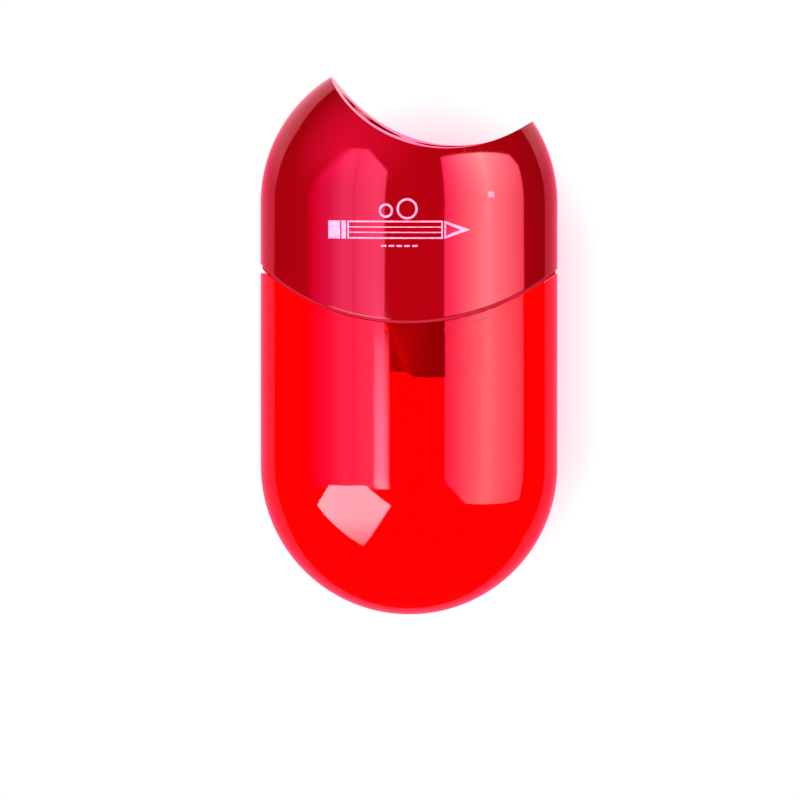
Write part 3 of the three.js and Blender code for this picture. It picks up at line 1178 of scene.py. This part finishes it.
@dataclass(frozen=True)
class MetalPart:
    """One metal part of the cutting set: the frame's own solid with its edges broken."""

    node: str
    edge_break: float

    def make(self, material: bpy.types.Material, slot: str) -> bpy.types.Object:
        """Models and dresses the part.

        Args:
            material: its finish.
            slot: the record's material slot; not used.

        Returns:
            The part, in place on the cap.
        """
        pick_only(frame["nodes"][self.node])
        bpy.ops.object.duplicate()
        piece = bpy.context.object
        bpy.ops.object.parent_clear(type="CLEAR_KEEP_TRANSFORM")
        settle(piece)
        bpy.ops.object.mode_set(mode="EDIT")
        bpy.ops.mesh.select_all(action="SELECT")
        bpy.ops.mesh.remove_doubles(threshold=0.002 * MM)
        bpy.ops.mesh.dissolve_limited(angle_limit=math.radians(1.0))
        bpy.ops.object.mode_set(mode="OBJECT")
        bevel = piece.modifiers.new("edge_break", "BEVEL")
        bevel.width = self.edge_break
        bevel.segments = 2
        bevel.limit_method = "ANGLE"
        bevel.angle_limit = math.radians(35.0)
        bpy.ops.object.modifier_apply(modifier=bevel.name)
        bpy.ops.object.shade_smooth_by_angle(angle=math.radians(32.0))
        piece.name = piece.data.name = f"{self.node}_finished"
        dress(piece, material)
        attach(piece, "cap")
        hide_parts(self.node)
        return piece


@dataclass
class CuttingSet:
    """The sharpener body with its two blades and their screws."""

    alloy: CastAlloy = CastAlloy()
    steel: GroundSteel = GroundSteel()
    plating: PlatedSteel = PlatedSteel()
    body: MetalPart = MetalPart("sharpener_body", 0.12 * MM)
    blades: tuple[MetalPart, ...] = (
        MetalPart("standard_blade", 0.03 * MM),
        MetalPart("jumbo_blade", 0.03 * MM),
    )
    screws: tuple[MetalPart, ...] = (
        MetalPart("standard_blade_screw", 0.05 * MM),
        MetalPart("jumbo_blade_screw", 0.05 * MM),
    )

    def make(self) -> list[bpy.types.Object]:
        """Models and dresses the metal parts.

        Returns:
            The parts.
        """
        steel, plating = self.steel.material(), self.plating.material()
        return [
            self.body.make(self.alloy.material(), "cast_alloy"),
            *(blade.make(steel, "blade_steel") for blade in self.blades),
            *(screw.make(plating, "screw_steel") for screw in self.screws),
        ]


# ---------------------------------------------------------------- studio


@dataclass(frozen=True)
class Grading:
    """How a softbox's colour changes over its face.

    The axis is how far one goes along it for a full step across the face and for a full
    step up it. Each stop is a place along the axis, from 0 to 1, and a colour.
    """

    axis: tuple[float, float]
    stops: tuple[tuple[float, Colour], ...]


@dataclass(frozen=True)
class Softbox:
    """A square-cornered soft light that faces the sharpener.

    Angles are in degrees from straight above: across towards +X and along towards +Y.
    """

    name: str
    across: tuple[float, float]
    along: tuple[float, float]
    radiance: float
    gradings: tuple[Grading, ...] = ()
    colour: Colour = (1.0, 1.0, 1.0)
    roll: float = 0.0
    distance: float = 1.4

    def hang(self, target: Vector) -> bpy.types.Object:
        """Hangs the light.

        Args:
            target: the point it faces.

        Returns:
            The light.
        """
        across, along = (math.radians(sum(pair) / 2) for pair in (self.across, self.along))
        level = math.cos(along)
        towards = Vector((math.sin(across) * level, math.sin(along), math.cos(across) * level))
        right = Vector((math.cos(across), 0, -math.sin(across)))
        turn = Matrix((right, towards.cross(right), towards)).transposed()
        turn = turn @ Matrix.Rotation(math.radians(self.roll), 3, "Z")
        select_nothing()
        bpy.ops.object.light_add(type="AREA")
        light = bpy.context.object
        light.name = self.name
        place = Matrix.Translation(target + towards * self.distance)
        light.matrix_world = place @ turn.to_4x4()
        light.data.shape = "RECTANGLE"
        light.data.size, light.data.size_y = (
            2 * self.distance * math.tan(math.radians(pair[1] - pair[0]) / 2)
            for pair in (self.across, self.along)
        )
        light.data.energy = self.radiance * math.pi * light.data.size * light.data.size_y
        light.data.color = self.colour
        if self.gradings:
            self.grade(light.data)
        return light

    def grade(self, lamp: bpy.types.AreaLight) -> None:
        """Gives the light its gradings.

        Args:
            lamp: the light's data.
        """
        lamp.use_nodes = True
        tree = lamp.node_tree
        emission = tree.nodes["Emission"]
        place = tree.nodes.new("ShaderNodeNewGeometry").outputs["Parametric"]
        colour = None
        for grading in self.gradings:
            along = tree.nodes.new("ShaderNodeVectorMath")
            along.operation = "DOT_PRODUCT"
            along.inputs[1].default_value = (*grading.axis, 0)
            tree.links.new(place, along.inputs[0])
            ramp = tree.nodes.new("ShaderNodeValToRGB")
            Sheet.set_stops(ramp, grading.stops)
            tree.links.new(along.outputs["Value"], ramp.inputs[0])
            if colour is None:
                colour = ramp.outputs[0]
            else:
                product = tree.nodes.new("ShaderNodeVectorMath")
                product.operation = "MULTIPLY"
                tree.links.new(colour, product.inputs[0])
                tree.links.new(ramp.outputs[0], product.inputs[1])
                colour = product.outputs[0]
        tree.links.new(colour, emission.inputs["Color"])


LEFT_GRADING = Grading(
    (1.0, 0.0),
    (
        (0.0, (0.10, 0.0, 0.005)),
        (0.12, (0.45, 0.0, 0.06)),
        (0.36, (0.55, 0.03, 0.20)),
        (0.56, (0.75, 0.17, 0.40)),
        (0.64, (0.75, 0.15, 0.38)),
        (0.653, (0.62, 0.06, 0.28)),
        (0.666, (0.75, 0.16, 0.40)),
        (0.74, (0.85, 0.20, 0.45)),
        (0.90, (0.93, 0.28, 0.52)),
        (0.98, (0.80, 0.25, 0.50)),
    ),
)
RIGHT_GRADING = Grading(
    (1.0, 0.0),
    (
        (0.0, (0.80, 0.07, 0.26)),
        (0.12, (0.85, 0.24, 0.37)),
        (0.285, (0.95, 0.60, 0.56)),
        (0.454, (1.0, 1.0, 0.82)),
        (0.548, (1.0, 0.73, 0.63)),
        (0.775, (0.90, 0.42, 0.43)),
        (1.0, (0.80, 0.18, 0.24)),
    ),
)
BRIGHTER_ABOVE = Grading(
    (0.0, 1.0), ((0.0, (0.9, 0.85, 0.9)), (0.5, (0.9, 0.85, 0.9)), (1.0, (1.1, 1.3, 1.3)))
)
BRIGHTER_BELOW = Grading(
    (0.0, 1.0), ((0.0, (1.0, 1.0, 1.0)), (0.85, (0.8, 0.62, 0.68)), (1.0, (0.3, 0.2, 0.25)))
)
SHOULDER_LEFT = Grading((-0.5, 0.5), ((0.0, (1, 1, 1)), (0.19, (1, 1, 1)), (0.27, (0, 0, 0))))
SHOULDER_RIGHT = Grading((0.5, 0.5), ((0.0, (1, 1, 1)), (0.86, (1, 1, 1)), (0.875, (0, 0, 0))))
ROUND_CORNERS = Grading(
    (0.5, 0.5),
    ((0.11, (0, 0, 0)), (0.13, (1, 1, 1)), (0.93, (1, 1, 1)), (0.945, (0, 0, 0))),
)
CORNER_OFF = Grading(
    (0.5, 0.5), ((0.0, (0.3, 0.3, 0.3)), (0.4, (1, 1, 1)), (0.75, (1, 1, 1)), (0.755, (0, 0, 0)))
)
STRIP_EDGES = Grading(
    (1.0, 0.0),
    (
        (0.0, (0.5, 0.4, 0.45)),
        (0.3, (1, 1, 1)),
        (0.75, (1, 0.95, 0.95)),
        (1.0, (0.3, 0.1, 0.15)),
    ),
)
FADING_RIGHT = Grading((1.0, 0.0), ((0.0, (0, 0, 0)), (0.5, (1, 1, 1)), (1.0, (0, 0, 0))))
FADING_UP = Grading((0.0, 1.0), ((0.0, (0, 0, 0)), (0.3, (1, 1, 1)), (1.0, (0.4, 0.4, 0.4))))


@dataclass
class Studio:
    """White card, soft lights and the camera that looks down on them."""

    form: Form
    camera_distance: float = 1.3
    view_width: float = 107.7 * MM
    aim_x: float = -1.2 * MM
    aim_y: float = -7.3 * MM
    lean_across: float = 3.7
    lean_along: float = 2.5
    card_low: tuple[float, float] = (-90 * MM, -57 * MM)
    card_high: tuple[float, float] = (62 * MM, 75 * MM)
    softboxes: tuple[Softbox, ...] = (
        Softbox(
            "left_softbox",
            (-61, -12.5),
            (-12.5, 28),
            8.8,
            (LEFT_GRADING, SHOULDER_LEFT, SHOULDER_RIGHT),
        ),
        Softbox("left_strip", (-18.2, -10.2), (-12.5, -2.0), 17.0, (BRIGHTER_BELOW, STRIP_EDGES)),
        Softbox(
            "right_softbox",
            (17, 75),
            (-21, 27),
            12.0,
            (RIGHT_GRADING, BRIGHTER_ABOVE, ROUND_CORNERS),
        ),
        Softbox(
            "low_left_softbox",
            (-49, -17.8),
            (-38, -6.8),
            30.0,
            (CORNER_OFF,),
            (1.0, 0.9, 0.8),
            45.0,
        ),
        Softbox(
            "upper_left_softbox",
            (-80, 0),
            (8, 75),
            5.0,
            (FADING_RIGHT, FADING_UP),
            (1.0, 0.03, 0.18),
        ),
        Softbox("glint_lamp", (43.0, 47.5), (3.5, 6.5), 16.0),
    )

    def card(self) -> bpy.types.Object:
        """Makes the lit white card that the sharpener lies on.

        Returns:
            The card.
        """
        select_nothing()
        (left, near), (right, far) = self.card_low, self.card_high
        bpy.ops.mesh.primitive_plane_add(
            size=1, location=((left + right) / 2, (near + far) / 2, -0.02 * MM)
        )
        card = bpy.context.object
        card.name = "white_card"
        card.scale = (right - left, far - near, 1)
        settle(card)
        dress(card, WhiteCard().material(self.form.middle))
        card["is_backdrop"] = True
        return card

    def surroundings(self) -> None:
        """Makes the room: white where it is looked at or seen through, dim otherwise."""
        world = bpy.data.worlds.new("studio_room")
        bpy.context.scene.world = world
        world.use_nodes = True
        tree = world.node_tree
        tree.nodes.clear()
        seen, lit = (tree.nodes.new("ShaderNodeBackground") for _ in range(2))
        seen.inputs["Color"].default_value = (1, 1, 1, 1)
        lit.inputs["Color"].default_value = (1, 1, 1, 1)
        lit.inputs["Strength"].default_value = 0.02
        path = tree.nodes.new("ShaderNodeLightPath")
        clear_view = tree.nodes.new("ShaderNodeMath")
        clear_view.operation = "MAXIMUM"
        mix = tree.nodes.new("ShaderNodeMixShader")
        output = tree.nodes.new("ShaderNodeOutputWorld")
        tree.links.new(path.outputs["Is Camera Ray"], clear_view.inputs[0])
        tree.links.new(path.outputs["Is Transmission Ray"], clear_view.inputs[1])
        tree.links.new(clear_view.outputs[0], mix.inputs[0])
        tree.links.new(lit.outputs[0], mix.inputs[1])
        tree.links.new(seen.outputs[0], mix.inputs[2])
        tree.links.new(mix.outputs[0], output.inputs["Surface"])

    def camera(self, target: Vector) -> bpy.types.Object:
        """Sets up the camera over the sharpener.

        Args:
            target: the point it looks at.

        Returns:
            The camera.
        """
        across, along = math.radians(self.lean_across), math.radians(self.lean_along)
        back = Vector((math.tan(across), math.tan(along), 1)).normalized()
        right = Vector((0, 1, 0)).cross(back).normalized()
        turn = Matrix((right, back.cross(right), back)).transposed()
        select_nothing()
        bpy.ops.object.camera_add()
        camera = bpy.context.object
        place = Matrix.Translation(target + back * self.camera_distance)
        camera.matrix_world = place @ turn.to_4x4()
        camera.data.sensor_width = 36.0
        camera.data.lens = camera.data.sensor_width * self.camera_distance / self.view_width
        camera.data.clip_start, camera.data.clip_end = 0.05, 20.0
        bpy.context.scene.camera = camera
        return camera

    def make(self) -> None:
        """Sets up the card, the room, the lights and the camera."""
        low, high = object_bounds()
        middle = (low + high) / 2
        self.card()
        self.surroundings()
        for softbox in self.softboxes:
            softbox.hang(middle)
        self.camera(middle + Vector((self.aim_x, self.aim_y, 0.0)))
        bpy.context.scene.view_settings.view_transform = "Standard"


def main() -> None:
    """Builds the sharpener and its studio, and reports each piece."""
    logging.basicConfig(level=logging.INFO, format="%(name)s: %(message)s")
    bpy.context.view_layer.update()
    form = Form()
    pieces = [
        CapShell(form).make(),
        CapPrint(form).make(),
        ContainerShell(form).make(),
        *CuttingSet().make(),
    ]
    Studio(form).make()
    for piece in pieces:
        LOG.info("%s: %d faces", piece.name, len(piece.data.polygons))


if __name__ == "__main__":
    main()
